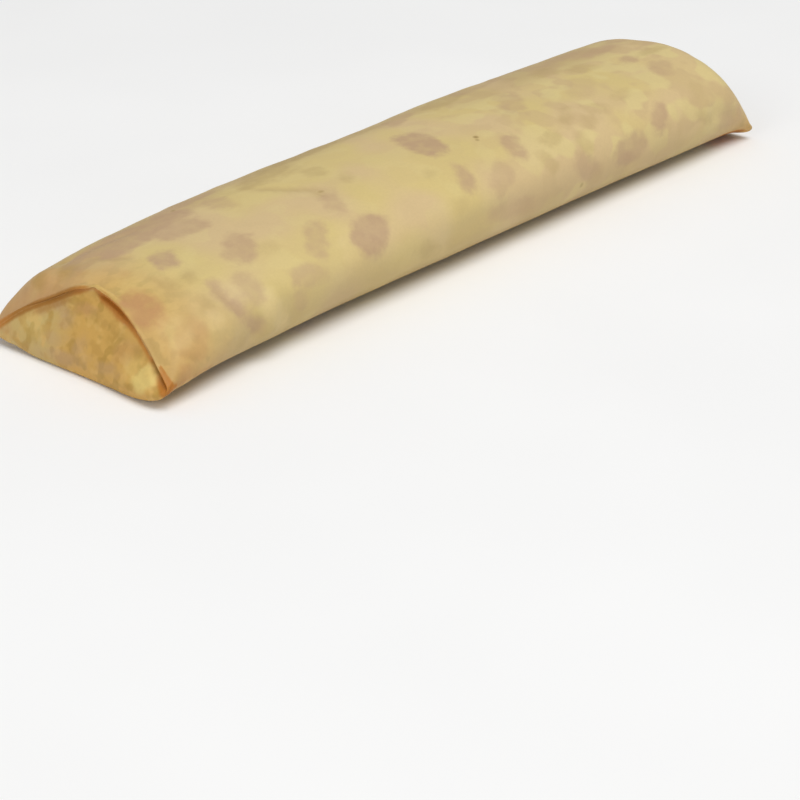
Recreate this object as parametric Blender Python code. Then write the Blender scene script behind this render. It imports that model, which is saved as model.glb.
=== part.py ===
"""A raspberry blintz: a thin crepe rolled round its filling, with both ends tucked in.

The whole roll is one solid. It lies along X on its flattened underside, Z is up, and the
origin is at the bottom centre. The end with the wider mouth, the near end, is at -X.
Angles round the roll start at its +Y side, and 90 degrees is its top. Units are metres.
"""

import math
from collections import namedtuple

import bpy

MM = 0.001

# The roll's driving sizes. The widest height is that of the line along its two sides.
ROLL_LENGTH = 145 * MM
MIDDLE_WIDTH = 36 * MM
MIDDLE_HEIGHT = 16 * MM
WIDEST_HEIGHT = 8.6 * MM
CREPE = 1.2 * MM

# The sizes of an end. Its mouth is measured from tip to tip, and its middle lies aside,
# towards +Y. The lip between the tips stands back, so the mouth leans, and its top lies
# towards -Y by a share of half the mouth. The roll's own height, widest height and
# fullness are those just inside the lip. The reaches say how far in each change goes.
End = namedtuple(
    "End",
    "mouth aside tip_height tip_drop lip_height lip_back lip_top_share arch_fullness "
    "roll_height widest_height fullness rise_reach lean_reach",
)
NEAR_END = End(
    mouth=38.8 * MM,
    aside=0.5 * MM,
    tip_height=2.4 * MM,
    tip_drop=1 * MM,
    lip_height=14 * MM,
    lip_back=4 * MM,
    lip_top_share=0.06,
    arch_fullness=1.5,
    roll_height=12.6 * MM,
    widest_height=3.6 * MM,
    fullness=1.7,
    rise_reach=3.8 * MM,
    lean_reach=12 * MM,
)
FAR_END = End(
    mouth=34.4 * MM,
    aside=0.0,
    tip_height=2.2 * MM,
    tip_drop=0.0,
    lip_height=15.2 * MM,
    lip_back=4.2 * MM,
    lip_top_share=0.0,
    arch_fullness=1.55,
    roll_height=16.3 * MM,
    widest_height=5.6 * MM,
    fullness=2.4,
    rise_reach=6 * MM,
    lean_reach=14 * MM,
)
FLARE_REACH = 22 * MM
WIDEST_REACH = 45 * MM

# How full the section is at the top of the roll's middle and on its underside.
ROLL_FULLNESS = 2.4
UNDERSIDE_FULLNESS = 0.8
UNDERSIDE_FLAT = 1.2

# The cage that the subdivision surface rounds off. Its rings' distances from an end.
EVEN_POINTS = 28
RING_DISTANCES = (1.1, 2.3, 3.9, 6, 8.5, 12, 17, 23, 30, 38, 46.5, 55, 63.5)

# The free edge of the rolled crepe, low on the +Y side.
SEAM_ANGLE = -19.5
SEAM_HALF_STEP = 1
SEAM_WANDER = 2.2
SEAM_WAVES = (70, 31)
SEAM_FADE = 46
SEAM_ENDS = (5 * MM, 16 * MM)

# Dents in the skin, and bumps where the depth is negative: place along the roll, angle,
# half length, half angle, depth.
DENTS = (
    (-57 * MM, 184, 2.5 * MM, 11, 0.8 * MM),
    (-50 * MM, 203, 5 * MM, 11, -0.4 * MM),
    (-24 * MM, 150, 15 * MM, 16, 0.5 * MM),
    (22 * MM, 40, 12 * MM, 15, -0.4 * MM),
    (-8 * MM, 42, 12 * MM, 15, 0.35 * MM),
    (36 * MM, 165, 12 * MM, 16, 0.5 * MM),
    (50 * MM, 104, 10 * MM, 18, 0.4 * MM),
    (4 * MM, 10, 16 * MM, 14, 0.6 * MM),
    (-52 * MM, 38, 11 * MM, 14, -0.35 * MM),
)

# The fold, step by step, from the roll's skin over the lip and down the tucked panel, as
# inset and setback in millimetres: over the panel, where a second layer shows behind the
# lip, and under the panel, where the skin only rounds over into it.
FOLD_STEPS = (
    ((0.00, 0.45), (0.00, 0.45), (0.00, 0.50)),
    ((0.20, 0.10), (0.20, 0.10), (0.15, 0.20)),
    ((0.60, 0.00), (0.60, 0.00), (0.40, 0.05)),
    ((0.95, 0.30), (0.90, 0.30), (0.80, 0.00)),
    ((1.10, 1.60), (1.00, 1.20), (1.20, -0.08)),
    ((1.40, 2.80), (1.80, 1.40), (1.70, -0.12)),
    ((1.90, 2.50), (2.30, 2.90), (2.30, -0.15)),
    ((2.40, 1.20), (2.80, 2.40), (2.90, -0.15)),
    ((3.40, 0.55), (3.50, 0.90), (3.80, -0.10)),
    ((5.20, 0.30), (5.20, 0.40), (5.30, 0.00)),
    ((7.20, 0.15), (7.20, 0.15), (7.00, 0.10)),
)
LAYER_ANGLES = (86, 96, 118, 132)
OVER_SINES = (-0.05, 0.35)

# The line across the panel that the fold's steps close on.
SPINE_HEIGHT = 6 * MM
SPINE_SHARE = 0.88
FULL_INSET = 8 * MM

# The panel's rounded corner at the -Y tip: its middle, its half sizes and how far it swells.
TONGUE_MIDDLE = (-12.5 * MM, 2.2 * MM)
TONGUE_HALVES = (5.0 * MM, 2.8 * MM)
TONGUE_SWELL = 0.8 * MM


def smooth(low, high, value):
    """0 up to low, 1 from high on, and a smooth rise between them."""
    share = min(1.0, max(0.0, (value - low) / (high - low)))
    return share * share * (3 - 2 * share)


def settle(reach, distance):
    """0 at no distance, 1 from reach on, steepest at the start."""
    return 1 - (1 - min(1.0, distance / reach)) ** 2


def mix(first, second, share):
    return first + (second - first) * share


def end_at(x):
    return NEAR_END if x < 0 else FAR_END


def from_end(x):
    """Distance from x to the nearer end of the roll."""
    return ROLL_LENGTH / 2 - abs(x)


def seam_at(x):
    """The angle of the crepe's free edge, which wanders a little along the roll."""
    short_wave, long_wave = SEAM_WAVES
    return SEAM_ANGLE + SEAM_WANDER * math.sin(short_wave * x) * math.sin(long_wave * x + 1)


def angles_at(x):
    """The section's angles in degrees: even steps, and two more at the free edge."""
    angles = [360 * i / EVEN_POINTS for i in range(EVEN_POINTS)]
    angles += [(seam_at(x) + side * SEAM_HALF_STEP) % 360 for side in (-1, 1)]
    return sorted(angles)


def dent_depth(x, angle):
    depth = 0
    for place, middle, half_length, half_angle, deepest in DENTS:
        away = ((x - place) / half_length) ** 2 + ((angle - middle) / half_angle) ** 2
        depth += deepest * math.exp(-away)
    return depth


def seam_depth(x, angle):
    """How deep the skin lies under the outer layer's free edge."""
    below = (seam_at(x) - angle) % 360
    if below >= SEAM_FADE or below < SEAM_HALF_STEP / 2:
        return 0
    return CREPE * (1 - smooth(0, SEAM_FADE, below)) * smooth(*SEAM_ENDS, from_end(x))


def lean_at(x, z):
    """How far a point of the skin stands back because the mouth leans."""
    end = end_at(x)
    share = (z - end.tip_height) / (end.lip_height - end.tip_height)
    return end.lip_back * min(1.0, max(0.0, share)) * (1 - settle(end.lean_reach, from_end(x)))


def section(x, angle):
    """The skin's (y, z) where the section at x meets an angle round the roll."""
    end = end_at(x)
    rise = settle(end.rise_reach, from_end(x))
    flared = settle(FLARE_REACH, from_end(x))
    half = mix(end.mouth, MIDDLE_WIDTH, flared) / 2
    crown = (MIDDLE_HEIGHT - end.roll_height) * (1 - (2 * x / ROLL_LENGTH) ** 2)
    top = mix(end.lip_height, end.roll_height, rise) + crown
    across, up = math.cos(math.radians(angle)), math.sin(math.radians(angle))
    widest = mix(end.tip_height - end.tip_drop * across, end.widest_height, rise)
    widest += (WIDEST_HEIGHT - end.widest_height) * settle(WIDEST_REACH, from_end(x))
    if up >= 0:
        from_top = abs(across + end.lip_top_share * (1 - across * across))
        arch = 1 - from_top ** end.arch_fullness
        fullness = mix(end.fullness, ROLL_FULLNESS, flared)
        full = (1 - min(1.0, abs(across)) ** fullness) ** (1 / fullness)
        z = widest + (top - widest) * mix(arch, full, rise)
    else:
        z = widest - UNDERSIDE_FLAT * widest * (-up) ** UNDERSIDE_FULLNESS
    depth = dent_depth(x, angle) + seam_depth(x, angle)
    y = end.aside * (1 - flared) + (half - depth) * across
    return y, max(0.0, z - depth * up)


def ring_on_body(x):
    ring = []
    for angle in angles_at(x):
        y, z = section(x, angle)
        ring.append((x - math.copysign(lean_at(x, z), x), y, z))
    return ring


def ring_on_end(side, step):
    """One ring of the tucked end, side -1 or 1, at a step of the fold."""
    tip = side * ROLL_LENGTH / 2
    end = end_at(tip)
    layer_in, layer_full, layer_thin, layer_out = LAYER_ANGLES
    ring = []
    for angle in angles_at(tip):
        y, z = section(tip, angle)
        over = smooth(*OVER_SINES, math.sin(math.radians(angle)))
        layer = smooth(layer_in, layer_full, angle) - smooth(layer_thin, layer_out, angle)
        lipped, layered, under = step
        inset, back = (
            MM * mix(under[i], mix(lipped[i], layered[i], layer), over) for i in (0, 1)
        )
        off = y - end.aside
        spine_z = mix(end.tip_height, SPINE_HEIGHT, 1 - (2 * off / end.mouth) ** 2)
        to_spine = (off * (SPINE_SHARE - 1), spine_z - z)
        share = inset / max(math.hypot(*to_spine), FULL_INSET)
        y, z = y + to_spine[0] * share, z + to_spine[1] * share
        from_tongue = [
            (at - middle) / half
            for at, middle, half in zip((y, z), TONGUE_MIDDLE, TONGUE_HALVES)
        ]
        swell = TONGUE_SWELL * math.exp(-math.hypot(*from_tongue) ** 2) if side < 0 else 0
        ring.append((tip - side * (back + lean_at(tip, z) - swell), y, z))
    return ring


def add_roll():
    """The roll as rings of points joined by quads, each end closed across its panel."""
    inside = [ROLL_LENGTH / 2 - distance * MM for distance in RING_DISTANCES]
    rings = [ring_on_end(-1, step) for step in reversed(FOLD_STEPS)]
    rings += [ring_on_body(-x) for x in inside]
    rings.append(ring_on_body(0))
    rings += [ring_on_body(x) for x in reversed(inside)]
    rings += [ring_on_end(1, step) for step in FOLD_STEPS]
    centring = (TONGUE_SWELL / 2, -NEAR_END.aside)
    points = [(x + centring[0], y + centring[1], z) for ring in rings for x, y, z in ring]
    count = EVEN_POINTS + 2
    faces = []
    for low in range(len(rings) - 1):
        for i in range(count):
            a, b = low * count + i, low * count + (i + 1) % count
            faces.append((a, b, b + count, a + count))
    for first, turned in ((0, True), (len(points) - count, False)):
        for i in range(count // 2):
            quad = [i, i + 1, (count - i - 1) % count, (count - i) % count]
            quad = list(dict.fromkeys(first + corner for corner in quad))
            faces.append(tuple(reversed(quad)) if turned else tuple(quad))
    mesh = bpy.data.meshes.new("crepe_roll")
    mesh.from_pydata(points, [], faces)
    roll = bpy.data.objects.new("crepe_roll", mesh)
    bpy.context.scene.collection.objects.link(roll)
    rounding = roll.modifiers.new("rounding", "SUBSURF")
    rounding.levels = 1
    rounding.render_levels = 1
    return roll


def crepe_material():
    material = bpy.data.materials.new("crepe")
    material.use_nodes = True
    shader = material.node_tree.nodes["Principled BSDF"]
    shader.inputs["Base Color"].default_value = (0.62, 0.47, 0.2, 1)
    shader.inputs["Roughness"].default_value = 0.55
    shader.inputs["Metallic"].default_value = 0.0
    return material


def main():
    for thing in list(bpy.data.objects):
        bpy.data.objects.remove(thing)
    roll = add_roll()
    roll.data.materials.append(crepe_material())
    roll.data.shade_smooth()


main()
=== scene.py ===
"""The finished look of a raspberry blintz: one thin crepe, rolled flat and tucked in at both ends."""

import math
import random
from collections import namedtuple

import bpy
import numpy as np
from mathutils import Matrix, Vector
from mathutils.bvhtree import BVHTree


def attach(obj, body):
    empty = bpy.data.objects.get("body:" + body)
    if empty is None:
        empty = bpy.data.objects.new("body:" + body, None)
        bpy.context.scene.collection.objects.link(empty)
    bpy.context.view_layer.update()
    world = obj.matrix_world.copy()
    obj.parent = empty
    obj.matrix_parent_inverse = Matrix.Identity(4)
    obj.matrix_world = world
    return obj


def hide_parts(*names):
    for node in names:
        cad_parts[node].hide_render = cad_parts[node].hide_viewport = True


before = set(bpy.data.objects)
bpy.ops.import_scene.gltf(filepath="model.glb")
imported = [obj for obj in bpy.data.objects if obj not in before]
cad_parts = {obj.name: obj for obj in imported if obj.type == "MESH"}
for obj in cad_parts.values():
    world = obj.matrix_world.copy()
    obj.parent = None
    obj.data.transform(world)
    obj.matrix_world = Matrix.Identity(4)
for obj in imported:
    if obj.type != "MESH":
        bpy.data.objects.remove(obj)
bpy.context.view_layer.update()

# The crepe. It is one thin pancake of egg batter, fried in a little butter and rolled round
# its filling, with the ends pushed in like pockets. Only its outer turn shows, so it is one
# closed skin, as thick as the roll.

MM = 0.001
MERGE = 0.01 * MM
ROUNDINGS = 2

bpy.ops.object.select_all(action="DESELECT")
crepe = bpy.data.objects.new("crepe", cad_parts["crepe_roll"].data.copy())
bpy.context.scene.collection.objects.link(crepe)
crepe.select_set(True)
bpy.context.view_layer.objects.active = crepe
crepe.data.materials.clear()
bpy.ops.object.mode_set(mode="EDIT")
bpy.ops.mesh.select_all(action="SELECT")
bpy.ops.mesh.remove_doubles(threshold=MERGE)
bpy.ops.mesh.tris_convert_to_quads(face_threshold=math.pi, shape_threshold=math.pi)
bpy.ops.object.mode_set(mode="OBJECT")
rounding = crepe.modifiers.new("rounding", "SUBSURF")
rounding.levels = ROUNDINGS
rounding.render_levels = ROUNDINGS
bpy.ops.object.modifier_apply(modifier=rounding.name)
bpy.ops.object.shade_smooth()
skin = crepe.data


def read_skin():
    """The skin points' places in millimetres, and the ways they face."""
    values = np.empty((2, 3 * len(skin.vertices)))
    skin.vertices.foreach_get("co", values[0])
    skin.vertex_normals.foreach_get("vector", values[1])
    places, ways = values.reshape(2, -1, 3)
    return places / MM, ways


def smooth(low, high, value):
    """0 at low, 1 at high, and a smooth rise or fall between them."""
    share = np.clip((value - low) / (high - low), 0, 1)
    return share * share * (3 - 2 * share)


def within(rise, fall, value):
    """1 between a rise and a fall, each given by where it starts and ends, and 0 outside them."""
    return smooth(*rise, value) * smooth(*fall, value)


def fall_off(away, width):
    """1 at no distance, falling off softly over a width."""
    return np.exp(-(away / width) ** 2)


LEAST_SHARE = 0.001


def weigh(name, shares):
    """A vertex group with a share for each skin point."""
    group = crepe.vertex_groups.new(name=name)
    for index in np.flatnonzero(shares > LEAST_SHARE):
        group.add([int(index)], float(shares[index]), "REPLACE")
    return group.name


# The lip of each mouth in millimetres: its side, where its tips lie along the roll, half its
# width, the tips' mean height and how much the +Y tip lies below it, the height of its top, how
# far the top lies to -Y as a share of the half width, how round the arch is, and how far the
# top stands back from the tips.
Lip = namedtuple("Lip", "side end half tip drop top aside fullness lean")
NEAR_LIP = Lip(
    side=-1, end=-72.2, half=19.1, tip=2.4, drop=0.9, top=13.3, aside=0.06, fullness=1.5, lean=4
)
FAR_LIP = Lip(
    side=1, end=72.9, half=16.9, tip=2.2, drop=0, top=14.4, aside=0, fullness=1.55, lean=4.2
)
LIP_POINTS = 81


def mouth_plane(lip, height):
    """Where the mouth's leaning plane lies along the roll, at a height."""
    return lip.end - lip.side * lip.lean * np.clip((height - lip.tip) / (lip.top - lip.tip), 0, 1)


def lip_place(lip, share):
    """The lip's place at a share of half the mouth, -1 to 1."""
    low = lip.tip - lip.drop * share
    rise = 1 - np.abs(np.clip(share + lip.aside * (1 - share ** 2), -1, 1)) ** lip.fullness
    height = low + (lip.top - low) * rise
    return np.stack([mouth_plane(lip, height), lip.half * share, height], axis=-1)


def from_line(line):
    """Each skin point's distance to a bent line, and how far along the line it lies, 0 to 1."""
    nearest = np.full(len(at), np.inf)
    along = np.zeros(len(at))
    for i, (start, end) in enumerate(zip(line[:-1], line[1:])):
        way = end - start
        share = np.clip((at - start) @ way / (way @ way), 0, 1)
        away = np.linalg.norm(at - start - share[:, None] * way, axis=1)
        closer = away < nearest
        nearest[closer] = away[closer]
        along[closer] = (i + share[closer]) / (len(line) - 1)
    return nearest, along


def by_lip(lip):
    """Each skin point's distance to a lip, its share along it, how far it lies inside the mouth's
    arch, and how far behind the mouth's leaning plane."""
    away, along = from_line(lip_place(lip, np.linspace(-1, 1, LIP_POINTS)))
    arch = lip_place(lip, np.clip(at[:, 1] / lip.half, -1, 1))[:, 2]
    behind = lip.side * (mouth_plane(lip, at[:, 2]) - at[:, 0])
    return away, 2 * along - 1, arch - at[:, 2], behind


FACING_UP, WELL_INSIDE = 0.3, 0.35


def past_lip(under):
    """Where the skin no longer faces up, or lies well inside the mouth's arch."""
    return (facing[:, 2] < FACING_UP) | (under > WELL_INSIDE)


# The hood is flat beside the gap that opens under the near lip: from where to where along the
# lip, and at what distances from it.
FLAT_ALONG = ((-0.6, -0.45), (-0.02, -0.1))
FLAT_AWAY = ((0.6, 0.9), (3.5, 2.5))
FLAT_SHARE, FLAT_TIMES = 0.9, 400
at, facing = read_skin()
near_lip_away, near_share, near_under, _ = by_lip(NEAR_LIP)
beside_gap = within(*FLAT_ALONG, near_share) * within(*FLAT_AWAY, near_lip_away)
flat = crepe.modifiers.new("flat_hood", "SMOOTH")
flat.factor = FLAT_SHARE
flat.iterations = FLAT_TIMES
flat.vertex_group = weigh("flat_hood", beside_gap * ~past_lip(near_under))
bpy.ops.object.modifier_apply(modifier=flat.name)
at, facing = read_skin()
skin_tree = BVHTree.FromPolygons(at.tolist(), [face.vertices[:] for face in skin.polygons])

# Places on the roll's skin are given by the distance along it in millimetres and by the angle
# round its axis in degrees, 0 at the +Y side and 90 on top. Those on a tucked panel are given
# by the distance across and the height.
AXIS_HEIGHT = 8
FAR_OUT = 60


def on_roll(x, angle):
    """The place of the outer skin, and the way it faces."""
    turn = math.radians(angle)
    out = Vector((0, math.cos(turn), math.sin(turn)))
    start = Vector((x, 0, AXIS_HEIGHT)) + out * FAR_OUT
    place, normal, _, _ = skin_tree.ray_cast(start, -out)
    return np.array(place), np.array(normal)


def on_panel(side, y, z):
    """The place of a tucked end, and the way it faces."""
    start = Vector((side * 2 * FAR_OUT, y, z))
    place, normal, _, _ = skin_tree.ray_cast(start, Vector((-side, 0, 0)))
    return np.array(place), np.array(normal)


# The soft folds in the skin: their places on the roll, half width, depth, or height where the
# depth is negative, and how dark the painted shade in them is. Each fades out towards its ends.
FOLDS = (
    (((-31, 46), (-28, 80), (-25, 112), (-26.5, 136)), 1.6, 0.24, 0.5),
    (((-55.5, 156), (-55.7, 169), (-54.6, 176), (-53, 186), (-54, 195)), 2.2, 0.65, 0.35),
    (((-47.5, 168), (-50, 181), (-50.5, 195)), 2.2, -0.5, 0),
    (((-59.5, 168), (-58.5, 178), (-58, 188)), 1.6, -0.3, 0),
    (((-45, 176), (-46, 184), (-45, 194)), 1.6, 0.3, 0.3),
    (((-57.5, 132), (-61, 152), (-64.5, 168), (-68, 180)), 2.6, 0.4, 0.1),
    (((-61, 25), (-60, 50), (-58, 80)), 1.3, 0.2, 0.4),
    (((-66, 14), (-58, 22), (-49, 33)), 1.5, 0.2, 0.3),
    (((58, 176), (63, 182), (68, 188)), 2.2, 0.35, 0.25),
    (((56, 12), (61, 4), (67, -4)), 2.4, 0.4, 0.25),
    (((-14, 184), (-2, 180), (12, 183)), 2.6, 0.25, 0.25),
)
FOLD_FADES = ((0, 0.2), (1, 0.8))
moved = np.zeros_like(at)
fold_shade = np.zeros(len(at))
for places, half_width, depth, brown in FOLDS:
    away, along = from_line(np.array([on_roll(*place)[0] for place in places]))
    strength = np.clip(1 - (away / half_width) ** 2, 0, 1) ** 2 * within(*FOLD_FADES, along)
    moved -= facing * (depth * strength)[:, None]
    fold_shade = np.maximum(fold_shade, brown * strength)


def near_to(place, width):
    """1 at a place, falling off round it over a width."""
    return fall_off(np.linalg.norm(at - place, axis=1), width)


LOWER_MIDDLE = (0, 0, 3)
TURNED_ALONG, TURNED_IN = (0.05, 0.3), (0, 0.3)


def how_turned_in():
    """1 where the skin faces along the roll or in towards its lower middle, 0 on its outside."""
    outward = at * (0, 1, 1) - LOWER_MIDDLE
    outward /= np.linalg.norm(outward, axis=1)[:, None]
    facing_in = -(facing * outward).sum(axis=1)
    return np.maximum(smooth(*TURNED_ALONG, np.abs(facing[:, 0])), smooth(*TURNED_IN, facing_in))


# At the near mouth the lip has a small corner at its top, and from there a gap runs towards the
# lower corner. Elsewhere, and below the gap, the panel lies close behind and under the lip. The
# pairs say from where to where each change comes in.
CORNER_SHARE, CORNER_WIDTH, CORNER_RISE = -0.06, 1.3, 0.4
GAP_ALONG = ((-0.55, -0.3), (-0.03, -0.15))
CLOSED_SHARE, GAP_CLOSED = 0.92, 0.5
UNDER_LIP, UNDER_GAP = (0.2, 0.5), (1.0, 1.5)
MOUTH_DEPTH, MOUTH_REACH, LOWER_SIDE = (-64, -65), (5, 3.5), (-10, -14)
HOLLOW = np.array(((-70.7, -16.6, 5.7), (-71.0, -17.6, 4.9), (-71.4, -18.3, 3.9), (-71.9, -18.6, 2.6)))
HOLLOW_REACH = (1.4, 3.0)
near_lip_away, near_share, near_under, near_behind = by_lip(NEAR_LIP)
turned_in = how_turned_in()
moved[:, 2] += CORNER_RISE * near_to(lip_place(NEAR_LIP, np.array(CORNER_SHARE)), CORNER_WIDTH)
in_gap = within(*GAP_ALONG, near_share)
closed_above = smooth(*UNDER_LIP, near_under)
closed_in_gap = GAP_CLOSED * closed_above + (1 - GAP_CLOSED) * smooth(*UNDER_GAP, near_under)
closed = CLOSED_SHARE * (closed_above + (closed_in_gap - closed_above) * in_gap)
hollow_away, hollow_along = from_line(HOLLOW)
by_mouth = smooth(*MOUTH_DEPTH, at[:, 0]) * smooth(*MOUTH_REACH, near_lip_away)
by_mouth *= smooth(*HOLLOW_REACH, hollow_away)
by_mouth *= 1 - smooth(*LOWER_SIDE, at[:, 1]) * (1 - turned_in)

# The gap that stays between lip and panel, and how far the panel is lifted under the lip, both
# at their places along it.
LEAST_GAP_ALONG, LEAST_GAP = (0.15, 0.35, 0.7), (0.3, 0.4, 0.1)
LIFT_ALONG, LIFT, LIFT_UNDER = (0.5, 0.75), (0.5, 0.85), ((0.2, 0.6), (3.5, 1.2))
LIFT_FADE, LIFT_UP = (1.0, 0.88), 0.8
least_gap = np.interp(near_share, LEAST_GAP_ALONG, LEAST_GAP)
moved[:, 0] -= closed * by_mouth * np.maximum(near_behind - least_gap, 0)
panel_lift = np.interp(near_share, LIFT_ALONG, LIFT) * within(*LIFT_UNDER, near_under)
panel_lift *= by_mouth * (1 - in_gap) * smooth(*LIFT_FADE, near_share)
moved[:, 1] += panel_lift * near_share
moved[:, 2] += panel_lift * LIFT_UP

# At the lower corner the skin is slightly hollow beside the lip, and the panel bulges in front.
HOLLOW_WIDTH, HOLLOW_FALL, HOLLOW_DEPTH, HOLLOW_START = (0.8, 2.4), 1.3, 0.3, (0, 0.4)
BULGE, BULGE_WIDTH, BULGE_WAY = (-72, -16.0, 3.2), 1.9, (-0.4, -0.04, 0)
hollow = fall_off(HOLLOW_FALL * hollow_away, np.interp(hollow_along, (0, 1), HOLLOW_WIDTH))
hollow_depth = HOLLOW_DEPTH * hollow * smooth(*HOLLOW_START, hollow_along) * (1 - turned_in)
moved -= facing * hollow_depth[:, None]
moved += np.outer(near_to(BULGE, BULGE_WIDTH) * (1 - hollow), BULGE_WAY)

# The hood's outline at the +Y tip: place, radius, and depth, or height where it is negative.
TIP_DENTS = (((-68.9, 16.2, 7.3), 2.6, 0.35), ((-67, 12.3, 10.7), 2.6, -0.4))
for place, radius, depth in TIP_DENTS:
    moved -= facing * (depth * near_to(place, radius))[:, None]

# The panel's lower edge lies a little higher towards the +Y tip.
EDGE_RISE = 0.6
EDGE_SIDE, EDGE_DEPTH, EDGE_HEIGHT = (8, 15), (-66, -71), (3, 0.5)
edge_share = smooth(*EDGE_SIDE, at[:, 1]) * smooth(*EDGE_DEPTH, at[:, 0])
moved[:, 2] += EDGE_RISE * edge_share * smooth(*EDGE_HEIGHT, at[:, 2])


def move_skin(places):
    """Put the skin's points at their new places in millimetres."""
    skin.vertices.foreach_set("co", (places * MM).ravel())
    skin.update()


move_skin(at + moved)

# The skin is slightly lumpy, but not where it rests: the lumps' name, size and height, and the
# heights between which they come in.
LUMPS = (("broad", 11, 0.36), ("small", 3.2, 0.07))
RESTING, FREE = 0.6, 3.0
free = weigh("free_skin", smooth(RESTING, FREE, at[:, 2]))
for name, size, height in LUMPS:
    clouds = bpy.data.textures.new(name + "_lumps", "CLOUDS")
    clouds.noise_scale = size * MM
    lumps = crepe.modifiers.new(name + "_lumps", "DISPLACE")
    lumps.texture = clouds
    lumps.texture_coords = "LOCAL"
    lumps.strength = height * MM
    lumps.mid_level = 0.5
    lumps.vertex_group = free
    bpy.ops.object.modifier_apply(modifier=lumps.name)
crepe.vertex_groups.clear()

# The browned spots, where the batter touched the hot pan: place along the roll, angle, half
# length, half width, turn from the roll's length, and strength.
MAUVE_SPOTS = (
    (-26.4, 165.7, 4.6, 3.1, 43, 0.95),
    (0.2, 109, 5.3, 3.2, 76, 1.0),
    (-46.4, 144, 4.0, 2.4, 44, 0.8),
    (-35.4, 158, 4.4, 1.8, 50, 0.65),
    (-41.3, 172, 3.4, 2.0, -10, 0.6),
    (-26.1, 138, 3.8, 1.5, 58, 0.6),
    (-51.9, 168, 2.9, 1.9, 85, 0.6),
    (-56.2, 165, 2.6, 1.2, 75, 0.75),
    (-55.6, 174, 2.6, 1.3, -70, 0.85),
    (-54.1, 182, 2.8, 1.1, -55, 0.7),
    (-56.5, 117, 2.9, 1.8, 61, 1.0),
    (-47.7, 63, 4.5, 3.4, -14, 0.75),
    (-54.4, 40, 6.6, 3.2, 2, 0.95),
    (-47.5, 36, 6.5, 3.4, 0, 0.95),
    (-37.1, 51, 3.7, 2.1, 82, 0.6),
    (7.9, 37, 4.7, 2.0, 26, 0.6),
    (-2.5, 158, 3.6, 1.5, 65, 0.85),
    (11.9, 152, 3.6, 1.8, 69, 0.8),
    (24, 178, 3.5, 2.0, -34, 0.6),
    (35.8, 179, 4.1, 2.7, 12, 0.75),
    (45.3, 168, 3.6, 1.7, 48, 0.8),
    (24.7, 98, 5.4, 2.2, 54, 0.55),
    (38.9, 122, 4.5, 2.4, 34, 0.3),
    (4, 165, 4.4, 2.1, 39, 0.45),
    (65.5, 186, 3.8, 1.9, -44, 0.6),
    (55.8, 107, 2.0, 1.4, 31, 0.7),
    (57.1, 138, 3.1, 2.2, 47, 0.55),
    (5.2, 183, 6.1, 1.4, -6, 0.5),
    (-56, 27, 9, 2.6, 6, 0.9),
    (-40, 26, 9, 1.8, 3, 0.75),
    (-62, 32, 4, 1.6, 20, 0.4),
    (30, 33, 7, 1.8, 5, 0.5),
    (50, 40, 6, 2.0, 4, 0.5),
    (58, 55, 6, 1.8, 6, 0.55),
    (63, 92, 3.5, 1.2, 10, 0.4),
    (-44, 181, 2.2, 1.2, 70, 0.4),
)
OLIVE_SPOTS = (
    (-57.4, 151, 1.9, 1.1, 65, 0.6),
    (-59.9, 169, 1.7, 1.0, 69, 0.7),
    (-60.9, 150, 2.6, 1.2, 81, 0.55),
    (-19.6, 76, 2.6, 1.8, 75, 0.6),
    (-18.1, 115, 1.8, 1.2, 72, 0.55),
    (-23.6, 41, 5.9, 2.1, 15, 0.8),
    (19.3, 37, 5.8, 2.5, 13, 0.7),
    (-7, 148, 1.3, 0.9, 23, 0.4),
    (-15.7, 185, 2.8, 1.4, -31, 0.7),
    (-43.4, 153, 1.7, 1.4, 17, 0.3),
    (19.6, 157, 2.5, 1.5, 20, 0.55),
    (15.1, 166, 2.4, 1.5, -74, 0.55),
    (25.2, 165, 2.1, 1.6, -81, 0.5),
    (27.2, 147, 3.0, 1.2, 43, 0.6),
    (30.5, 156, 2.3, 1.4, 19, 0.45),
    (34.4, 150, 2.6, 1.6, -25, 0.45),
    (41.8, 148, 2.7, 1.4, 14, 0.35),
    (57.4, 164, 3.0, 1.5, 39, 0.3),
    (57, 178, 2.4, 1.1, -15, 0.5),
    (61.8, 107, 2.8, 1.1, -4, 0.6),
    (46.9, 83, 2.9, 2.0, -15, 0.5),
    (40.9, 60, 2.9, 2.2, 8, 0.6),
    (-7.6, 170, 2.1, 1.4, -6, 0.35),
    (-63.8, 173, 1.2, 0.9, 36, 0.35),
    (-61, 182, 1.3, 0.9, -15, 0.45),
    (-64.9, 26, 2.5, 1.5, 39, 0.9),
    (-67.9, 12, 1.8, 1.0, 70, 0.7),
    (-60.3, 44, 4.1, 1.2, -78, 0.45),
    (-13, 29, 12, 2.2, 3, 1.0),
    (-22.5, 36, 3.4, 0.8, 12, 0.8),
    (-59.5, 171, 1.2, 0.8, 60, 0.7),
    (-56.1, 190, 2.0, 1.0, 50, 0.5),
    (-24, 36, 5, 1.1, 8, 0.9),
    (-29.5, 49, 3.2, 0.9, -12, 0.8),
    (-21, 54, 4, 0.8, 12, 0.5),
    (0, 32, 7, 1.3, 3, 0.6),
)
BLUSHES = (
    # The first is painted shade low on the hood, beside the near mouth's lower corner.
    (-68.7, 192, 2.6, 1.3, 0, 0.6),
    (-69.5, 12, 3.4, 2.2, 60, 0.45),
    (-67, 34, 3.2, 2.4, 70, 0.4),
    (-68.3, 13, 1.5, 1.0, 60, 0.5),
    (-67.0, 160, 4.0, 2.6, 70, 1.0),
    (-65.0, 179, 3.6, 2.6, 60, 0.4),
    (-63.3, 108, 1.0, 0.8, 80, 0.3),
)
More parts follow.
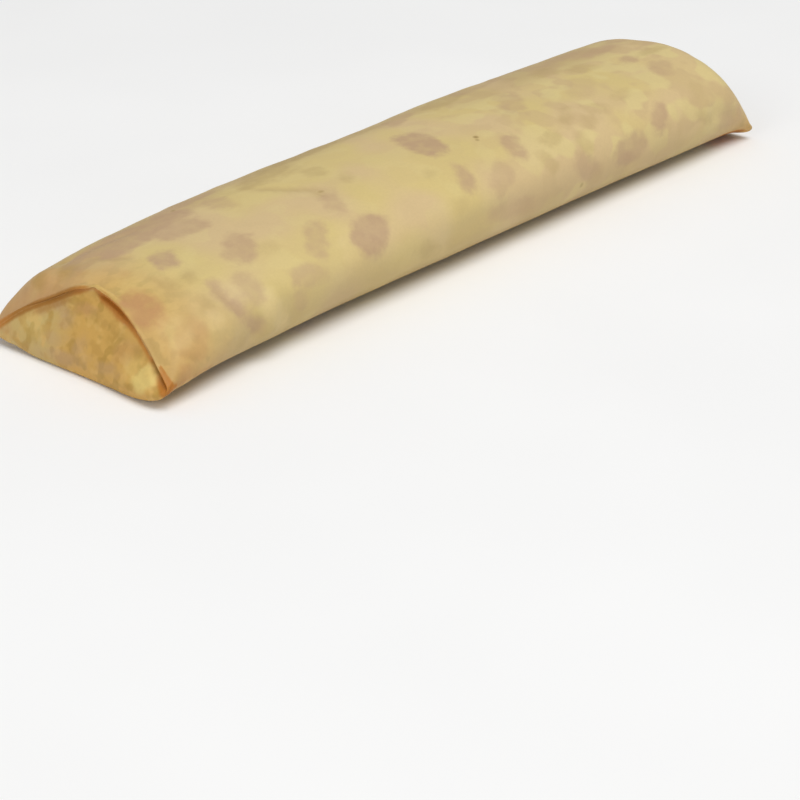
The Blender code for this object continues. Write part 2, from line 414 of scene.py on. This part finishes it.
# Painted highlights, laid as pale patches.
PAINTED_HIGHLIGHTS = (
    (-49.3, 182, 5.5, 1.6, 84, 0.7),
    (-66.0, 176, 2.6, 1.8, 60, 0.6),
    (-31.5, 168, 4.5, 1.6, 70, 0.5),
    (-60.5, 178, 4.0, 1.1, 70, 0.5),
    (-12.0, 140, 7.0, 4.0, 20, 0.25),
)

# The same on the near panel: distance across, height, half width, half height, turn, strength.
PANEL_MAUVE = (
    (5, 8.4, 2.0, 1.1, -35, 0.55),
    (3.5, 6.8, 1.6, 0.9, 20, 0.35),
    (4.7, 4.1, 2.2, 0.9, 10, 0.35),
    (-0.4, 4.5, 1.7, 1.1, 60, 0.4),
    (-7.1, 3, 2.6, 0.8, 10, 0.4),
    (2.0, 2.2, 5.5, 1.0, 5, 0.5),
)
PANEL_OLIVE = (
    (-2, 9.0, 1.0, 0.9, 0, 0.8),
    (9.8, 3.3, 1.1, 0.8, 0, 0.6),
    (-7.4, 7.6, 1.4, 0.7, 20, 0.6),
    (-6.2, 6.5, 0.8, 1.0, 0, 0.5),
    (-11.8, 6.2, 0.7, 0.6, 0, 0.6),
)
PANEL_BLUSHES = (
    (-0.2, 9.6, 2.0, 1.1, 0, 0.6),
    (-9.5, 6.0, 2.4, 1.6, 40, 0.35),
    (15.5, 2.4, 1.6, 0.7, 0, 0.5),
)
# Painted highlights on the panel, laid as pale patches.
PANEL_HIGHLIGHTS = (
    (9.6, 4.8, 2.4, 1.9, 0, 0.3),
    (-14.3, 3.8, 2.2, 1.8, 40, 0.9),
    (-12.0, 4.6, 2.0, 1.4, 0, 0.4),
)

# The sides that face away have spots of the same sizes, scattered by a seeded draw: their
# number, and from what to what their places, lengths, widths, turns and strengths go.
HIDDEN_SEED, HIDDEN_SPOTS, FAR_PANEL_SPOTS = 7, 64, 9
HIDDEN_ALONG, HIDDEN_ROUND = (-66, 66), (198, 390)
SPOT_LENGTH, SPOT_SLIMNESS, SPOT_TURN, SPOT_STRENGTH = (1.6, 4.8), (0.4, 0.7), (-90, 90), (0.5, 1.0)
FAR_PANEL_ACROSS, FAR_PANEL_UP, FAR_PANEL_LENGTH = (-11, 11), (0.15, 0.8), (0.8, 2.2)
FAR_PANEL_SLIMNESS, FAR_PANEL_STRENGTH = 0.65, 0.6
KINDS = ("mauve", "olive")
draw = random.Random(HIDDEN_SEED)
hidden = {kind: [] for kind in KINDS}
for _ in range(HIDDEN_SPOTS):
    half_length = draw.uniform(*SPOT_LENGTH)
    x, angle = draw.uniform(*HIDDEN_ALONG), draw.uniform(*HIDDEN_ROUND)
    half_width = half_length * draw.uniform(*SPOT_SLIMNESS)
    turn, strength = draw.uniform(*SPOT_TURN), draw.uniform(*SPOT_STRENGTH)
    hidden[draw.choice(KINDS)].append((x, angle, half_length, half_width, turn, strength))
far_panel = {kind: [] for kind in KINDS}
for _ in range(FAR_PANEL_SPOTS):
    y = draw.uniform(*FAR_PANEL_ACROSS)
    z = draw.uniform(*FAR_PANEL_UP) * lip_place(FAR_LIP, np.array(y / FAR_LIP.half))[2]
    half_length = draw.uniform(*FAR_PANEL_LENGTH)
    half_width = half_length * FAR_PANEL_SLIMNESS
    kind, turn = draw.choice(KINDS), draw.uniform(*SPOT_TURN)
    far_panel[kind].append((y, z, half_length, half_width, turn, FAR_PANEL_STRENGTH))


def keep(name, values):
    """Keep a value for each skin point, for the material to read."""
    layer = skin.attributes.new(name, "FLOAT", "POINT")
    layer.data.foreach_set("value", values.astype(np.float32))


# What counts as well outside every spot, how square the spots are, how much they shrink off
# their own level, and which skin faces along the roll or away from a spot.
OUTSIDE = -4
SQUARENESS, OFF_SKIN = 3, 0.5
END_FACING, OTHER_SIDE = 0.7, -0.2


def lay_spots(name, spots):
    """Keep how far inside the nearest spot's edge each skin point lies, in mm, and its strength."""
    reach = np.full(len(at), float(OUTSIDE))
    depth = np.zeros(len(at))
    for (place, normal), half_length, half_width, turn, strength in spots:
        on_end = abs(normal[0]) >= END_FACING
        along = np.cross(normal, (0, 0, 1)) if on_end else np.cross((0, 1, 0), normal)
        along /= np.linalg.norm(along)
        across = np.cross(normal, along)
        off = at - place
        off_along, off_across = off @ along, off @ across
        cos, sin = math.cos(math.radians(turn)), math.sin(math.radians(turn))
        long_part = np.abs(off_along * cos + off_across * sin) / half_length
        wide_part = np.abs(off_across * cos - off_along * sin) / half_width
        round_part = (long_part ** SQUARENESS + wide_part ** SQUARENESS) ** (1 / SQUARENESS)
        inside = (1 - round_part) * half_width - OFF_SKIN * np.abs(off @ normal)
        inside[facing @ normal < OTHER_SIDE] = OUTSIDE
        nearer = inside > reach
        reach[nearer] = inside[nearer]
        depth[nearer] = strength
    keep(name + "_reach", reach)
    keep(name + "_depth", depth)


def placed(roll_spots, near_spots, far_spots=()):
    """The spots of the roll, the near panel and the far panel, each at its place on the skin."""
    found = [(on_roll(*spot[:2]), *spot[2:]) for spot in roll_spots]
    found += [(on_panel(-1, *spot[:2]), *spot[2:]) for spot in near_spots]
    return found + [(on_panel(1, *spot[:2]), *spot[2:]) for spot in far_spots]


lay_spots("mauve", placed(MAUVE_SPOTS + tuple(hidden["mauve"]), PANEL_MAUVE, far_panel["mauve"]))
lay_spots("olive", placed(OLIVE_SPOTS + tuple(hidden["olive"]), PANEL_OLIVE, far_panel["olive"]))
lay_spots("blush", placed(BLUSHES, PANEL_BLUSHES))
lay_spots("painted_highlight", placed(PAINTED_HIGHLIGHTS, PANEL_HIGHLIGHTS))

# Where the skin is tucked in it is golden, and a little so at the near end and the far tips.
# The hood is rosy beside the near lip's +Y half.
TUCKED_UNDER, TUCKED_NEAR, TUCKED_FAR = (0.1, 0.7), (-64.5, -66), (64, 66)
NEAR_END, NEAR_END_GOLD = (-54, -68), 0.65
FAR_TIP_ALONG, FAR_TIP_HEIGHT, FAR_TIP_GOLD = (62, 73), (8, 2), 0.6
ROSY_STRENGTH, ROSY_ALONG, ROSY_AWAY = 0.75, (0.05, 0.45), (7.5, 2)
at, facing = read_skin()
near_lip_away, near_share, near_under, _ = by_lip(NEAR_LIP)
far_lip_away, _, far_under, far_behind = by_lip(FAR_LIP)
tucked_near = smooth(*TUCKED_UNDER, near_under) * smooth(*TUCKED_NEAR, at[:, 0])
tucked_far = smooth(*TUCKED_UNDER, far_under) * smooth(*TUCKED_FAR, at[:, 0])
tucked = np.maximum(tucked_near, tucked_far) * how_turned_in()
near_end = NEAR_END_GOLD * smooth(*NEAR_END, at[:, 0])
far_tips = FAR_TIP_GOLD * smooth(*FAR_TIP_ALONG, at[:, 0]) * smooth(*FAR_TIP_HEIGHT, at[:, 2])
keep("golden", np.maximum.reduce([tucked, near_end, far_tips]))
below_lip = (near_under > 0) & past_lip(near_under)
rosy_hood = ROSY_STRENGTH * smooth(*ROSY_ALONG, near_share) * smooth(*ROSY_AWAY, near_lip_away)
keep("rosy", rosy_hood * ~below_lip)

# The browned line along the near lip, from its lower corner to its +Y tip, partly painted shade
# where the lip shades the gap under it: its place along the lip, how far below the edge it lies,
# its half width and its strength. It starts at the edge, or above it on the +Y half, where a fainter
# painted shade lies below it.
BROWNED_AND_SHADED_LINE = np.array((
    (-1.0, 0.6, 1.0, 1.0), (-0.94, 0.5, 0.9, 0.95), (-0.87, 0.3, 0.65, 0.7),
    (-0.6, 0.35, 0.7, 0.75), (-0.47, 0.5, 0.9, 0.9), (-0.38, 0.75, 1.3, 1.0),
    (-0.15, 0.7, 1.2, 1.0), (-0.08, 0.35, 0.7, 0.8), (-0.02, 0.1, 0.4, 0.6),
    (0.12, 0.3, 0.75, 0.9), (0.3, 0.35, 0.8, 1.0), (0.5, 0.3, 0.75, 1.0),
    (0.75, 0.2, 0.65, 1.0), (0.9, 0.2, 0.65, 0.85), (1.0, 0.2, 0.9, 0.6),
))
LINE_START_ALONG, LINE_START, LINE_SOFTNESS, LINE_REACH = (0, 0.15), (0, -0.5), 0.4, 3
SHADE, SHADE_ALONG, SHADE_BELOW, SHADE_WIDTH = 0.6, ((0.1, 0.3), (0.75, 0.5)), 1.2, 0.9
below_edge = np.where(below_lip, near_lip_away, -near_lip_away)
inset, half_width, strength = (
    np.interp(near_share, BROWNED_AND_SHADED_LINE[:, 0], BROWNED_AND_SHADED_LINE[:, i]) for i in (1, 2, 3)
)
line_start = np.interp(near_share, LINE_START_ALONG, LINE_START)
browned_and_shaded_line = strength * np.exp(-np.abs((below_edge - inset) / half_width) ** 3)
browned_and_shaded_line *= smooth(-LINE_SOFTNESS, 0, below_edge - line_start) * (near_lip_away < LINE_REACH)
shade = SHADE * within(*SHADE_ALONG, near_share) * fall_off(below_edge - SHADE_BELOW, SHADE_WIDTH)

# At the lower corner there is a browned patch beside the lip's end, partly painted shade in the
# hollow there and darkest along its low rim, where it is painted shade, and from there a tan strip runs
# along the hood's low side. The far lip is browned too, and the groove behind it browned and partly
# painted shade.
PATCH = np.array(((-70.7, -16.6, 5.7), (-71.1, -17.6, 4.8), (-71.4, -18.3, 4.1), (-71.5, -18.8, 3.5)))
PATCH_STRENGTH, PATCH_WIDTH, PATCH_EDGE = (0.7, 0.9), (0.3, 1.3), (1.15, 0.6)
LOW_RIM = np.array(((-72.2, -18.4, 2.6), (-71.6, -18.8, 3.1), (-70.3, -19.0, 3.3)))
LOW_STRIP = np.array(((-70.3, -19.0, 3.3), (-67.5, -18.7, 3.4), (-62.5, -17.9, 3.1)))
LOW_RIM_WIDTH, LOW_STRIP_WIDTH, LOW_STRIP_STRENGTH = 0.5, 0.9, 0.35
FAR_LINE_WIDTH, FAR_LINE_STRENGTH, FAR_GROOVE = 0.5, 0.5, (0.7, 1.7)
patch_away, patch_along = from_line(PATCH)
patch = np.interp(patch_along, (0, 1), PATCH_STRENGTH)
patch *= smooth(*PATCH_EDGE, patch_away / np.interp(patch_along, (0, 1), PATCH_WIDTH))
low_rim_shade = fall_off(from_line(LOW_RIM)[0], LOW_RIM_WIDTH)
low_strip = LOW_STRIP_STRENGTH * fall_off(from_line(LOW_STRIP)[0], LOW_STRIP_WIDTH)
far_line = FAR_LINE_STRENGTH * fall_off(far_lip_away, FAR_LINE_WIDTH)
far_groove = tucked_far * smooth(*FAR_GROOVE, far_behind)
keep("toast_and_shade", np.maximum.reduce(
    [browned_and_shaded_line, shade, patch, low_rim_shade, low_strip, far_line, far_groove]
))

# The skin is a little browner along its back, and darker with painted shade on its low near side
# and in the folds. On the far half the brown of the back reaches higher.
BACK, BACK_ROUND = 0.6, (52, 26)
HIGH_BACK_ALONG, HIGH_BACK_ROUND = (5, 35), (95, 45)
LOW_SIDE_SHADE, LOW_SIDE_HEIGHT = 0.55, (13, 4)
round_angle = np.degrees(np.arctan2(at[:, 2] - AXIS_HEIGHT, at[:, 1])) % 360
back_side = smooth(*BACK_ROUND, np.minimum(round_angle, np.abs(round_angle - 360)))
high_back = smooth(*HIGH_BACK_ALONG, at[:, 0]) * smooth(*HIGH_BACK_ROUND, round_angle)
low_side_shade = smooth(*LOW_SIDE_HEIGHT, at[:, 2]) * (at[:, 1] < 0)
keep("back_tone_and_shade", (1 - tucked) * np.maximum.reduce(
    [BACK * back_side, BACK * high_back, LOW_SIDE_SHADE * low_side_shade, fold_shade]
))

# The near lip sags a little at its top and halfway to its +Y tip: share, width, depth.
SAGS = ((0, 0.22, 0.6), (0.38, 0.2, 0.66))
SAG_AWAY = (4.5, 1)
sag = sum(depth * fall_off(near_share - share, width) for share, width, depth in SAGS)
at[:, 2] -= sag * smooth(*SAG_AWAY, near_lip_away)
move_skin(at)


def add_node(tree, kind, inputs, **settings):
    """A node with its settings, its inputs set or linked by name or number."""
    node = tree.nodes.new(kind)
    for name, value in settings.items():
        setattr(node, name, value)
    for name, value in inputs.items():
        if isinstance(value, bpy.types.NodeSocket):
            tree.links.new(value, node.inputs[name])
        else:
            node.inputs[name].default_value = value
    return node


def rise_between(tree, value, low, high, top=1.0):
    """A smooth rise from 0 at low to top at high."""
    inputs = {"Value": value, "From Min": low, "From Max": high, "To Max": top}
    return add_node(tree, "ShaderNodeMapRange", inputs, interpolation_type="SMOOTHSTEP").outputs[0]


def calculate(tree, operation, *values):
    """The result of a sum, a product or the like."""
    return add_node(tree, "ShaderNodeMath", dict(enumerate(values)), operation=operation).outputs[0]


def multiply(tree, one, other):
    """The product of two values."""
    return calculate(tree, "MULTIPLY", one, other)


def spread(tree, share, low, high):
    """A value that goes from low to high as a share goes from 0 to 1."""
    return calculate(tree, "MULTIPLY_ADD", share, high - low, low)


def tint(tree, share, colour, new_colour):
    """One colour turned towards another by a share."""
    inputs = {0: share, 6: colour, 7: new_colour}
    return add_node(tree, "ShaderNodeMix", inputs, data_type="RGBA").outputs[2]


def add_noise(tree, place, scale, detail):
    """Soft noise between 0 and 1, mostly near a half."""
    inputs = {"Vector": place, "Scale": scale, "Detail": detail}
    return add_node(tree, "ShaderNodeTexNoise", inputs).outputs["Fac"]


def blotch_group():
    """Soft-edged blotches of a given size in millimetres, as a mask."""
    tree = bpy.data.node_groups.new("soft_blotches", "ShaderNodeTree")
    tree.interface.new_socket("Place", in_out="INPUT", socket_type="NodeSocketVector")
    for name in ("Size", "Detail", "Low", "High"):
        tree.interface.new_socket(name, in_out="INPUT", socket_type="NodeSocketFloat")
    tree.interface.new_socket("Mask", in_out="OUTPUT", socket_type="NodeSocketFloat")
    given = tree.nodes.new("NodeGroupInput").outputs
    noise = add_noise(tree, given["Place"], calculate(tree, "DIVIDE", 1.0, given["Size"]), given["Detail"])
    mask = rise_between(tree, noise, given["Low"], given["High"])
    add_node(tree, "NodeGroupOutput", {"Mask": mask})
    return tree


blotches = blotch_group()


def add_blotches(tree, place, size, detail, low, high):
    """A mask of blotches, which starts where their noise is at low and is full at high."""
    inputs = {"Place": place, "Size": size, "Detail": detail, "Low": low, "High": high}
    return add_node(tree, "ShaderNodeGroup", inputs, node_tree=blotches).outputs["Mask"]


def place_in_millimetres(tree, offset=(0, 0, 0)):
    """The place on the object, moved by an offset where another noise is wanted."""
    here = tree.nodes.new("ShaderNodeTexCoord").outputs["Object"]
    scaled = {"Vector": here, "Scale": (1 / MM, 1 / MM, 1 / MM), "Location": offset}
    return add_node(tree, "ShaderNodeMapping", scaled).outputs["Vector"]


# The colours of the fried batter, and of the painted shade and painted highlights on it.
BATTER = (0.66, 0.515, 0.21, 1)
BATTER_PINK = (0.65, 0.475, 0.26, 1)
BATTER_TAN = (0.58, 0.42, 0.21, 1)
BATTER_LIGHT = (0.70, 0.57, 0.25, 1)
GOLDEN = (0.605, 0.355, 0.085, 1)
GOLDEN_DARK = (0.50, 0.285, 0.06, 1)
GOLDEN_LIGHT = (0.68, 0.425, 0.125, 1)
MAUVE = (0.475, 0.31, 0.185, 1)
OLIVE = (0.46, 0.33, 0.14, 1)
BLUSH = (0.51, 0.275, 0.11, 1)
HIGHLIGHT = (0.71, 0.545, 0.26, 1)
HIGHLIGHT_YELLOW = (0.75, 0.585, 0.20, 1)
BACK_TONE_AND_SHADE = (0.47, 0.33, 0.145, 1)
GOLDEN_PALE = (0.53, 0.405, 0.16, 1)
ROSY = (0.55, 0.305, 0.13, 1)
GOLDEN_BROWN = (0.40, 0.235, 0.04, 1)
TOAST_AND_SHADE = (0.46, 0.17, 0.018, 1)
DARK_TOAST_AND_SHADE = (0.35, 0.15, 0.02, 1)
FLECK = (0.34, 0.225, 0.075, 1)

ELSEWHERE = (37, -11, 23)
fried = bpy.data.materials.new("fried_crepe")
fried.use_nodes = True
tree = fried.node_tree
shader = tree.nodes["Principled BSDF"]
here = place_in_millimetres(tree)
elsewhere = place_in_millimetres(tree, ELSEWHERE)


def read(name):
    """What was kept for each skin point under a name."""
    return add_node(tree, "ShaderNodeAttribute", {}, attribute_name=name).outputs["Fac"]


# The pale batter: broad pinkish areas, and towards the far end a net of pink and tan between
# pale yellow patches.
apart = add_node(tree, "ShaderNodeSeparateXYZ", {0: here}).outputs
farther = rise_between(tree, apart["X"], 0, 25)
far_end = rise_between(tree, apart["X"], 45, 66, top=0.6)
pink = multiply(tree, add_blotches(tree, here, size=17, detail=1.0, low=0.42, high=0.62), 0.75)
colour = tint(tree, calculate(tree, "MAXIMUM", pink, far_end), BATTER, BATTER_PINK)
tan = add_blotches(tree, elsewhere, size=5.0, detail=0.8, low=0.46, high=0.56)
colour = tint(tree, multiply(tree, tan, spread(tree, farther, 0.1, 0.55)), colour, BATTER_TAN)
light = add_blotches(tree, here, size=5.5, detail=1.0, low=0.5, high=0.6)
colour = tint(tree, multiply(tree, light, spread(tree, farther, 0.25, 0.7)), colour, BATTER_LIGHT)
wiped = add_blotches(tree, elsewhere, size=9.0, detail=2.0, low=0.3, high=0.55)
# Browner along the back, and painted shade on the low near side and in the folds, at half to full strength
# by the wiped blotches.
colour = tint(tree, multiply(tree, read("back_tone_and_shade"), spread(tree, wiped, 0.5, 1)), colour, BACK_TONE_AND_SHADE)

# The tucked panel: golden, paler to the left, with darker and lighter mottling and small marks.
pale_side = rise_between(tree, apart["Y"], 0, 8, top=0.7)
panel_dark = add_blotches(tree, elsewhere, size=2.6, detail=2.0, low=0.48, high=0.62)
panel_light = add_blotches(tree, here, size=3.0, detail=2.0, low=0.52, high=0.66)
panel_marks = add_blotches(tree, here, size=2.3, detail=1.2, low=0.54, high=0.66)
golden = tint(tree, pale_side, GOLDEN, GOLDEN_PALE)
for marks, strength, mark_colour in (
    (panel_dark, 0.65, GOLDEN_DARK), (panel_light, 0.6, GOLDEN_LIGHT), (panel_marks, 0.55, GOLDEN_BROWN)
):
    golden = tint(tree, multiply(tree, marks, strength), golden, mark_colour)
colour = tint(tree, read("golden"), colour, golden)
colour = tint(tree, multiply(tree, read("rosy"), spread(tree, wiped, 0.4, 1)), colour, ROSY)

# The spots: their edges wander by two sizes of noise, and they are a little uneven inside.
ROUGH_WANDER, FINE_WANDER, UNEVEN = 1.8, 0.4, 0.3
SPOT_EDGE = (-0.8, 0.75)
rough_noise = add_noise(tree, here, scale=0.42, detail=2.0)
fine_noise = add_noise(tree, elsewhere, scale=1.6, detail=2.0)
wander = -(ROUGH_WANDER + FINE_WANDER) / 2
wander = calculate(tree, "MULTIPLY_ADD", fine_noise, FINE_WANDER, wander)
wander = calculate(tree, "MULTIPLY_ADD", rough_noise, ROUGH_WANDER, wander)
uneven = rise_between(tree, rough_noise, 0.3, 0.65, top=UNEVEN)
uneven = calculate(tree, "ADD", uneven, 1 - UNEVEN)
olive = tint(tree, read("golden"), OLIVE, GOLDEN_BROWN)
# The painted highlights are pale, and yellower on the golden panel.
painted_highlight = tint(tree, read("golden"), HIGHLIGHT, HIGHLIGHT_YELLOW)
dry = 0.0
for name, spot_colour, share in (
    ("painted_highlight", painted_highlight, 0.8), ("blush", BLUSH, 0.95), ("olive", olive, 0.75), ("mauve", MAUVE, 0.85)
):
    edge = calculate(tree, "ADD", read(name + "_reach"), wander)
    mask = multiply(tree, rise_between(tree, edge, *SPOT_EDGE, top=share), read(name + "_depth"))
    mask = multiply(tree, mask, uneven)
    colour = tint(tree, mask, colour, spot_colour)
    dry = calculate(tree, "MAXIMUM", dry, mask)

# The browned lines and the patch, with the painted shade in them, darker to the left of the near lip's
# top.
RAGGED = 0.15
LEFT_SIDE = (("Y", 1, 5), ("Y", 17, 13), ("X", -60, -64))
ragged = spread(tree, fine_noise, -RAGGED, RAGGED)
toast_and_shade = rise_between(tree, calculate(tree, "ADD", read("toast_and_shade"), ragged), 0.05, 1.0)
left_side = 1.0
for axis, start, end in LEFT_SIDE:
    left_side = multiply(tree, left_side, rise_between(tree, apart[axis], start, end))
colour = tint(tree, toast_and_shade, colour, tint(tree, left_side, TOAST_AND_SHADE, DARK_TOAST_AND_SHADE))

# A few dark flecks: place on the roll, radius and strength.
FLECKS = (
    (8.7, 133, 0.7, 0.9), (8.1, 136.5, 0.55, 0.6), (22.9, 187, 0.7, 0.5), (-24.7, 120, 0.7, 0.5),
    (-42.2, 30, 0.6, 0.6),
)
FLECK_CORE = 0.2
for x, angle, radius, strength in FLECKS:
    centre = tuple(on_roll(x, angle)[0])
    away = add_node(tree, "ShaderNodeVectorMath", {0: here, 1: centre}, operation="DISTANCE")
    share = rise_between(tree, away.outputs["Value"], radius, FLECK_CORE * radius, top=strength)
    colour = tint(tree, share, colour, FLECK)

# The finish: a fine grain in the colour, a slightly oily skin that is drier on the spots, and
# shallow pores.
GRAIN = (0.95, 1.05)
SKIN_ROUGHNESS, DRY_ROUGHNESS, SHINE = (0.46, 0.58), 0.12, 0.35
PORE_STRENGTH, PORE_DEPTH = 0.25, 0.15 * MM
grain = add_noise(tree, here, scale=2.4, detail=3.0)
grained = {0: 1.0, 6: colour, 7: spread(tree, grain, *GRAIN)}
colour = add_node(tree, "ShaderNodeMix", grained, data_type="RGBA", blend_type="MULTIPLY").outputs[2]
roughness = calculate(tree, "MULTIPLY_ADD", dry, DRY_ROUGHNESS, spread(tree, grain, *SKIN_ROUGHNESS))
pores = add_noise(tree, elsewhere, scale=1.1, detail=4.0)
bump = add_node(
    tree, "ShaderNodeBump", {"Height": pores, "Strength": PORE_STRENGTH, "Distance": PORE_DEPTH}
)
tree.links.new(colour, shader.inputs["Base Color"])
tree.links.new(roughness, shader.inputs["Roughness"])
tree.links.new(bump.outputs["Normal"], shader.inputs["Normal"])
shader.inputs["Specular IOR Level"].default_value = SHINE
crepe.data.materials.append(fried)

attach(crepe, "root")
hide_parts("crepe_roll")

# The floor that the blintz lies on, nearly white and very faintly cloudy, like paper. It is
# there for the picture only and isn't part of the object.

FLOOR_SIZE, FLOOR_DROP = 12.0, 0.05 * MM
PAPER, PAPER_LIGHT, PAPER_ROUGHNESS = (0.93, 0.93, 0.925, 1), (0.95, 0.95, 0.945, 1), 0.9

bpy.ops.object.select_all(action="DESELECT")
bpy.ops.mesh.primitive_plane_add(size=FLOOR_SIZE, location=(0, 0, -FLOOR_DROP))
floor = bpy.context.object
floor.name = "floor"
paper = bpy.data.materials.new("floor_paper")
paper.use_nodes = True
tree = paper.node_tree
paper_shader = tree.nodes["Principled BSDF"]
cloudy = add_blotches(tree, place_in_millimetres(tree), size=60, detail=2.0, low=0.3, high=0.7)
tree.links.new(tint(tree, cloudy, PAPER, PAPER_LIGHT), paper_shader.inputs["Base Color"])
paper_shader.inputs["Roughness"].default_value = PAPER_ROUGHNESS
floor.data.materials.append(paper)

# The light: an even pale surround, one large soft lamp over the near side and a weak one
# from the left.

SURROUND, SURROUND_STRENGTH = (1, 1, 1, 1), 0.38

world = bpy.data.worlds.new("surround")
bpy.context.scene.world = world
world.use_nodes = True
background = world.node_tree.nodes["Background"]
background.inputs["Color"].default_value = SURROUND
background.inputs["Strength"].default_value = SURROUND_STRENGTH


def add_lamp(name, place, size, watts):
    """A round soft lamp that shines on the object."""
    bpy.ops.object.light_add(type="AREA", location=place)
    lamp = bpy.context.object
    lamp.name = name
    lamp.data.shape = "DISK"
    lamp.data.size = size
    lamp.data.energy = watts
    lamp.rotation_euler = (-Vector(place)).to_track_quat("-Z", "Y").to_euler()


add_lamp("soft_lamp", place=(0.0, -0.62, 1.6), size=1.4, watts=19)
add_lamp("side_lamp", place=(-1.1, -0.15, 0.5), size=0.6, watts=2.5)

# The camera stands where the photograph was taken from, off the near end. It is shifted to
# the left and down, so that the blintz lies high in the picture.

CAMERA_TURN = -47.79
CAMERA_RISE = 25.49
CAMERA_ROLL = 1.03
CAMERA_DISTANCE = 404.8 * MM
AIM_HEIGHT = 9 * MM
SHIFT_LEFT = 1.22 * MM
SHIFT_DOWN = 35.52 * MM
SENSOR = 36
LENS = 112.5
NEAREST = 10 * MM

turn, rise, roll = (math.radians(angle) for angle in (CAMERA_TURN, CAMERA_RISE, CAMERA_ROLL))
back = Vector((math.sin(turn) * math.cos(rise), -math.cos(turn) * math.cos(rise), math.sin(rise)))
level = Vector((math.cos(turn), math.sin(turn), 0))
upright = back.cross(level)
across = level * math.cos(roll) - upright * math.sin(roll)
upward = level * math.sin(roll) + upright * math.cos(roll)
place = Vector((0, 0, AIM_HEIGHT)) + back * CAMERA_DISTANCE
place -= across * SHIFT_LEFT + upward * SHIFT_DOWN
bpy.ops.object.camera_add()
camera = bpy.context.object
camera.matrix_world = Matrix.LocRotScale(
    place, Matrix((across, upward, back)).transposed().to_quaternion(), None
)
camera.data.sensor_width = SENSOR
camera.data.lens = LENS
camera.data.clip_start = NEAREST
bpy.context.scene.camera = camera
bpy.context.scene.view_settings.view_transform = "Standard"
